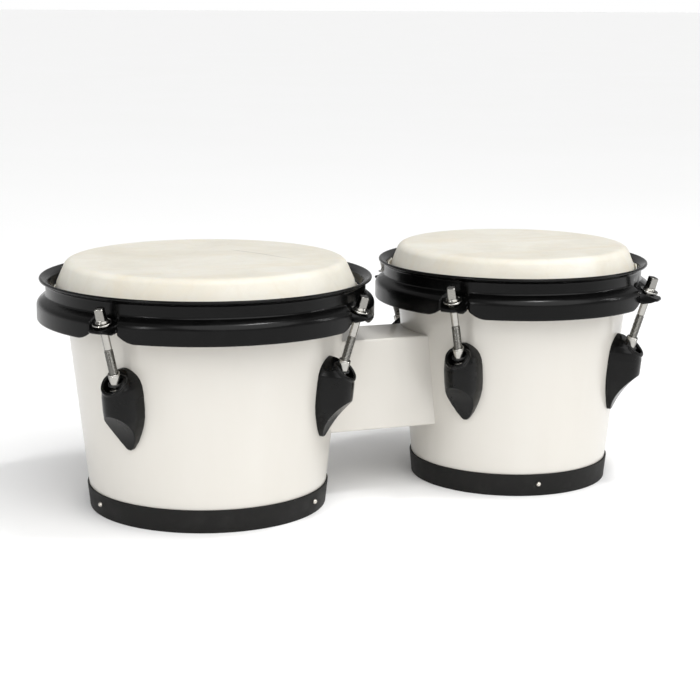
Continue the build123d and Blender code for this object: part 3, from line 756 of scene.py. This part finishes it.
def mouth_bead(drum):
    """The raised bead round the mouth."""
    radius, raised = 1.45, 0.8
    ring = mouth_ring(drum, 1.1)
    middle = sum(ring, Vector()) / len(ring)
    rings = []
    for p in ring:
        side = (p - middle).normalized()
        rings.append([tuple((p + side * (radius * cos(a)) + MOUTH_UP * (radius * sin(a) + raised)) * MM)
                      for a in np.linspace(0, 2 * pi, 12, endpoint=False)])
    verts, faces = ring_grid(rings, True)
    return mesh_object("bead", verts, faces, [LUG_COAT])


def scoop_cutter():
    """What is taken off the casing's lower front: a cut right across it, along a curve through a, b and c."""
    a, b, c = Vector((2.8, -0.2)), Vector((8.4, 14.8)), Vector((20.6, 29.6))
    arc = [a * (1 - t) * (1 - 2 * t) + b * 4 * t * (1 - t) + c * t * (2 * t - 1) for t in np.linspace(0, 1, 24)]
    side = [Vector((p.x, 0, p.y)) for p in arc]
    side += [Vector((45, 0, 29.6)), Vector((45, 0, -12)), Vector((2.0, 0, -12))]
    half = Vector((0, 25, 0))
    return prism("scoop", [p - half for p in side], [p + half for p in side])


def nut_room(drum, lug):
    """The room for the nut and the rod's end, on the rod's axis but in the casing's frame."""
    room = rounded([(0.0001, 20), (4.35, 20), (4.35, -46.2), (6.3, -46.2), (6.3, -52), (4.6, -55), (4.6, -61),
                    (0.0001, -61)], (0, 0, 0, 0, 0, 0), 1)
    obj = lathe("room", [p * MM for p in room], [], segments=48)
    joint = next(j for j in frame["joints"] if j["name"] == f"{drum.name}_rod_1_turn")
    obj.data.transform(lug_matrix(drum, lug).inverted() @ rod_place(joint))
    return obj


def lug_mesh(drum):
    """One casing's mesh in its own frame, cut, beaded and softened."""
    obj = lug_blank(drum)
    cut(obj, scoop_cutter())
    edge = mouth_ring(drum, 0)
    wide = [MOUTH_BACK + Vector((x, y, 0)) + (MOUTH_FRONT - MOUTH_BACK) * s
            for x, y, s in ((0, -30, -1), (0, 30, -1), (0, 30, 2), (0, -30, 2))]
    cut(obj, prism("top", wide, [p + MOUTH_UP * 40 for p in wide]))
    inner = mouth_ring(drum, 2.1)
    centre = sum(edge, Vector()) / len(edge)
    floor = [p - MOUTH_UP * 7.5 + (centre - p) * 0.10 - Vector((0.6, 0, 0)) for p in inner]
    cut(obj, prism("cup", floor, [p + MOUTH_UP * 6 for p in inner]))
    cut(obj, nut_room(drum, drum.lug_angles[0]))
    obj = joined("lug", [obj, mouth_bead(drum)])
    remesh = obj.modifiers.new("remesh", "REMESH")
    remesh.mode = "VOXEL"
    remesh.voxel_size = 0.42 * MM
    soften = obj.modifiers.new("soften", "SMOOTH")
    soften.factor = 0.5
    soften.iterations = 2
    thin = obj.modifiers.new("thin", "DECIMATE")
    thin.ratio = 0.45
    bpy.context.view_layer.objects.active = obj
    for name in ("remesh", "soften", "thin"):
        bpy.ops.object.modifier_apply(modifier=name)
    mesh = obj.data.copy()
    bpy.data.objects.remove(obj)
    return mesh


def lug_casings(drum):
    """The drum's four casings."""
    pattern = lug_mesh(drum)
    for number, lug in enumerate(drum.lug_angles, start=1):
        obj = bpy.data.objects.new(f"{drum.name}_cast_lug_{number}", pattern.copy())
        bpy.context.scene.collection.objects.link(obj)
        obj.data.transform(lug_matrix(drum, lug))
        obj.data.materials.clear()
        obj.data.materials.append(LUG_COAT)
        obj.data.polygons.foreach_set("use_smooth", [True] * len(obj.data.polygons))
        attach(obj, "root")
        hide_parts(f"{drum.name}_lug_casing_{number}")


# ---- Rods, washers and nuts, each built on the rod's own axis -----------------------------
def superellipse(radius, squareness, count):
    """A ring of points between a circle (2) and a square (large)."""
    ring = []
    for k in range(count):
        angle = 2 * pi * (k + 0.5) / count
        c, s = cos(angle), sin(angle)
        scale = (abs(c) ** squareness + abs(s) ** squareness) ** (-1 / squareness)
        ring.append((radius * scale * c, radius * scale * s))
    return ring


def stacked(name, sections, material, sharp):
    """A closed solid from rings of the same count, each (ring, height)."""
    rings = [[(x, y, z) for x, y in ring] for ring, z in sections]
    verts, faces = ring_grid(rings, False)
    size = len(rings[0])
    faces.append(tuple(range(size))[::-1])
    faces.append(tuple(range(len(verts) - size, len(verts))))
    return mesh_object(name, verts, faces, material, sharp)


def rod_head(name):
    """The key head: a rounded square standing on a domed flange."""
    seat = 1.26     # mm above the ear; each row below is radius, squareness and height in mm
    flange = ((2.6, 2, seat - 1.6), (4.3, 2, seat), (4.62, 2, seat + 0.25), (4.65, 2, seat + 0.8),
              (4.35, 2, seat + 1.35), (3.9, 2.2, seat + 1.75), (3.55, 2.8, seat + 2.0), (3.3, 4, seat + 2.35))
    barrel = ((3.12, 6, seat + 2.9), (3.02, 7, seat + 4.5), (2.92, 7, seat + 7.6), (2.95, 7, seat + 8.6),
              (3.02, 6, seat + 9.3), (2.98, 5, seat + 9.75), (2.75, 4, seat + 10.1), (2.2, 3, seat + 10.3),
              (1.2, 2, seat + 10.38), (0.3, 2, seat + 10.4))
    sections = [(superellipse(radius * MM, squareness, 48), z * MM) for radius, squareness, z in flange + barrel]
    return stacked(name, sections, KEY_STEEL, 30)


def rod_thread(name, low, high):
    """A right-hand M6 thread as a closed helical ridge, from low to high."""
    pitch, crest, root, steps = 1.0 * MM, 2.97 * MM, 2.46 * MM, 28
    shape = ((0.0, root), (0.10, root), (0.42, crest), (0.58, crest), (0.90, root))
    rows = [(turn + share, radius) for turn in range(int((high - low) / pitch)) for share, radius in shape]
    rings = []
    for start, radius in rows:
        ring = []
        for k in range(steps):
            angle = 2 * pi * k / steps
            z = low + (start + k / steps) * pitch
            fade_in = max(0.0, (z - low) / (1.2 * pitch))
            fade_out = max(0.0, (high - 0.3 * pitch - z) / (1.5 * pitch))
            fade = min(1.0, fade_in, fade_out)
            r = root * 0.985 + (radius - root * 0.985) * fade
            ring.append((r * cos(angle), r * sin(angle), min(max(z, low), high)))
        rings.append(ring)
    verts = [p for ring in rings for p in ring]
    faces = []
    for i in range(len(rings) - 1):
        here, above = i * steps, (i + 1) * steps
        for k in range(steps - 1):
            faces.append((here + k, here + k + 1, above + k + 1, above + k))
    for i in range(len(rings) - 1 - len(shape)):
        here, above = i * steps, (i + 1) * steps
        next_turn = here + len(shape) * steps
        faces.append((here + steps - 1, next_turn, next_turn + steps, above + steps - 1))
    obj = mesh_object(name, verts, faces, THREAD, 60)
    bm = bmesh.new()
    bm.from_mesh(obj.data)
    loops = bmesh.ops.holes_fill(bm, edges=[e for e in bm.edges if e.is_boundary], sides=0)
    bmesh.ops.triangulate(bm, faces=loops["faces"])
    bmesh.ops.recalc_face_normals(bm, faces=bm.faces)
    bm.to_mesh(obj.data)
    bm.free()
    return obj


def tension_rod(name):
    """Head, shank, core and thread of one rod, joined."""
    shank = rounded([(0.0002, 1.0 * MM), (2.65 * MM, 1.0 * MM), (2.65 * MM, SHANK_FOOT),
                     (2.3 * MM, SHANK_FOOT - 0.6 * MM), (0.0002, SHANK_FOOT - 0.6 * MM)],
                    (0, 0.25 * MM, 0.1 * MM), 4)
    core = rounded([(0.0002, ROD_END), (2.0 * MM, ROD_END), (2.4 * MM, ROD_END + 0.6 * MM),
                    (2.4 * MM, SHANK_FOOT - 0.4 * MM), (0.0002, SHANK_FOOT - 0.4 * MM)], (0, 0, 0), 1)
    pieces = [
        rod_head(name),
        lathe("shank", shank, CHROME, segments=40),
        lathe("core", core, THREAD, segments=32),
        rod_thread("thread", ROD_END + 0.4 * MM, SHANK_FOOT),
    ]
    return joined(name, pieces)


def rod_washer(name):
    """A dished washer with a rolled rim."""
    line = rounded(
        [(2.95, 0.03), (5.6, 0.03), (6.2, 0.1), (6.75, 0.55), (6.8, 1.25), (6.55, 1.68), (6.05, 1.62), (5.5, 1.2),
         (4.9, 1.12), (2.95, 1.12)],
        (0.15, 0.6, 0.8, 0.8, 0.4, 0.3, 0.4, 0.5, 0.5, 0.2), 4, closed=True)
    return lathe(name, [p * MM for p in line], CHROME, segments=72, sharp=50)


def swivel_nut(name):
    """The visible sleeve with its collar, bored right through."""
    top, seat, end = -35.6, -46.46, -54.5
    line = rounded(
        [(3.3, top), (3.8, top), (4.15, top - 0.35), (4.15, top - 0.9), (4.0, top - 1.05), (4.0, top - 1.3),
         (4.15, top - 1.45), (4.15, seat), (5.8, seat), (5.8, seat - 3), (3.9, seat - 3), (3.9, end), (3.05, end),
         (3.05, top - 0.5)],
        (0.1, 0.2, 0.1, 0.05, 0.05, 0.05, 0.05, 0.1, 0.3, 0.3, 0.1, 0.3, 0.1, 0.1), 3, closed=True)
    return lathe(name, [p * MM for p in line], CHROME, segments=64, sharp=40)


def rod_place(joint):
    """Matrix of a rod's own frame: origin on the ear, +Z up the rod, +X outwards."""
    up = Vector(joint["axis"]).normalized()
    out = Vector((up.x, up.y, 0)).normalized()
    side = up.cross(out).normalized()
    out = side.cross(up)
    turn = Matrix((out, side, up)).transposed().to_4x4()
    return Matrix.Translation(joint["pos_m"]) @ turn


def hardware(drum):
    """The rods, washers and nuts of one drum."""
    for number in range(1, 5):
        joint = next(j for j in frame["joints"] if j["name"] == f"{drum.name}_rod_{number}_turn")
        place = rod_place(joint)
        turned = Matrix.Rotation(radians(17 + 31 * number), 4, "Z")     # no two keys stand alike
        rod = tension_rod(f"{drum.name}_key_rod_{number}")
        rod.data.transform(place @ turned)
        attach(rod, f"{drum.name}_rod_{number}")
        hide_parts(f"{drum.name}_tension_rod_{number}")
        washer = rod_washer(f"{drum.name}_dished_washer_{number}")
        washer.data.transform(place)
        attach(washer, f"{drum.name}_washer_{number}")
        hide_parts(f"{drum.name}_rod_washer_{number}")
        nut = swivel_nut(f"{drum.name}_nut_sleeve_{number}")
        nut.data.transform(place)
        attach(nut, "root")
        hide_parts(f"{drum.name}_swivel_nut_{number}")


# ---- CAD nodes that stay -----------------------------------------------------------------
def repaint(node, material):
    """Gives a CAD node a material from here in place of its plain one."""
    obj = frame["nodes"][node]
    for place in obj.material_slots:
        place.material = material


def repaint_all():
    """Paints every CAD node that no visual piece replaces."""
    for drum in DRUMS:
        repaint(f"{drum.name}_band_tacks", NICKEL)
        repaint(f"{drum.name}_flesh_hoop", HOOP_STEEL)
        repaint(f"{drum.name}_lug_screws", ZINC)
        repaint(f"{drum.name}_lug_screw_washers", ZINC)
        repaint(f"{drum.name}_nut_clips", NYLON)
        repaint(f"{drum.name}_backing_block", WOOD)
    repaint("centre_block", LACQUER)
    for node in ("block_tie_rods", "tie_rod_washers", "tie_rod_nuts"):
        repaint(node, ZINC)


# ---- Stage, lights and camera ---------------------------------------------------------------
CAMERA_TURN = radians(20.88)      # from the view straight along +Y, towards +X
CAMERA_PITCH = radians(11.48)
CAMERA_ROLL = radians(0.433)
CAMERA_HEIGHT = 0.3554
CAMERA_STANDOFF = 1.2512          # level distance to the middle between the drums' axes
CAMERA_ASIDE = 0.0100             # how far that middle stands to the right of the camera's line
CAMERA_LENS = 89.53


def camera():
    """The camera, at the photograph's viewing angle."""
    middle = (DRUMS[0].centre + DRUMS[1].centre) / 2
    ahead = Vector((sin(CAMERA_TURN), cos(CAMERA_TURN), 0))
    right = Vector((ahead.y, -ahead.x, 0))
    data = bpy.data.cameras.new("camera")
    data.lens = CAMERA_LENS
    data.sensor_width = 36
    data.clip_start = 0.01
    obj = bpy.data.objects.new("camera", data)
    obj.location = middle - ahead * CAMERA_STANDOFF - right * CAMERA_ASIDE + Vector((0, 0, CAMERA_HEIGHT))
    turn = Matrix.Rotation(-CAMERA_TURN, 4, "Z") @ Matrix.Rotation(pi / 2 - CAMERA_PITCH, 4, "X")
    obj.rotation_euler = (turn @ Matrix.Rotation(CAMERA_ROLL, 4, "Z")).to_euler()
    bpy.context.scene.collection.objects.link(obj)
    bpy.context.scene.camera = obj


def area_light(name, position, size, watts):
    """A rectangular light aimed at the middle of the object."""
    data = bpy.data.lights.new(name, "AREA")
    data.shape = "RECTANGLE"
    data.size, data.size_y = size
    data.energy = watts
    obj = bpy.data.objects.new(name, data)
    obj.location = position
    obj.rotation_euler = (Vector((0, 0, 0.1)) - Vector(position)).to_track_quat("-Z", "Y").to_euler()
    bpy.context.scene.collection.objects.link(obj)


def studio():
    """A pale floor, a sky that is white at the horizon and grey above, and four lights."""
    floor = mesh_object("floor", [(-40, -40, 0), (40, -40, 0), (40, 40, 0), (-40, 40, 0)], [(0, 1, 2, 3)], [])
    look = Look("floor", (0.95, 0.95, 0.95), 0.9, Specular_IOR_Level=0.1)
    look.color(look.ramp(look.noise(2, 3), ((0.3, (0.945, 0.945, 0.942)), (0.7, (0.955, 0.955, 0.955)))))
    floor.data.materials.append(look.material)
    world = bpy.data.worlds.new("studio")
    world.use_nodes = True
    nodes, links = world.node_tree.nodes, world.node_tree.links
    direction = nodes.new("ShaderNodeTexCoord").outputs["Generated"]
    height = nodes.new("ShaderNodeSeparateXYZ")
    ramp = nodes.new("ShaderNodeValToRGB")
    for element, at, grey in zip(ramp.color_ramp.elements, (0.03, 0.12), (1, 0.42)):
        element.position = at
        element.color = (grey, grey, grey, 1)
    links.new(direction, height.inputs[0])
    links.new(height.outputs["Z"], ramp.inputs["Fac"])
    links.new(ramp.outputs["Color"], nodes["Background"].inputs["Color"])
    bpy.context.scene.world = world
    sun = bpy.data.lights.new("sky_panel", "SUN")
    sun.energy = 2.35
    sun.angle = radians(70)
    lamp = bpy.data.objects.new("sky_panel", sun)
    lamp.rotation_euler = Vector((-0.15, 0.88, -1)).to_track_quat("-Z", "Y").to_euler()
    bpy.context.scene.collection.objects.link(lamp)
    area_light("overhead", (0.35, -0.30, 1.6), (0.36, 0.08), 6.0)
    area_light("left_window", (-1.6, -0.9, 0.9), (0.07, 0.8), 6)
    area_light("right_window", (1.7, -0.6, 0.9), (0.06, 0.8), 4.5)
    bpy.context.scene.view_settings.view_transform = "Standard"


camera()
for one in DRUMS:
    shell(one)
    base_band(one)
    tension_rim(one)
    skin_head(one)
    hardware(one)
    lug_casings(one)
repaint_all()
studio()
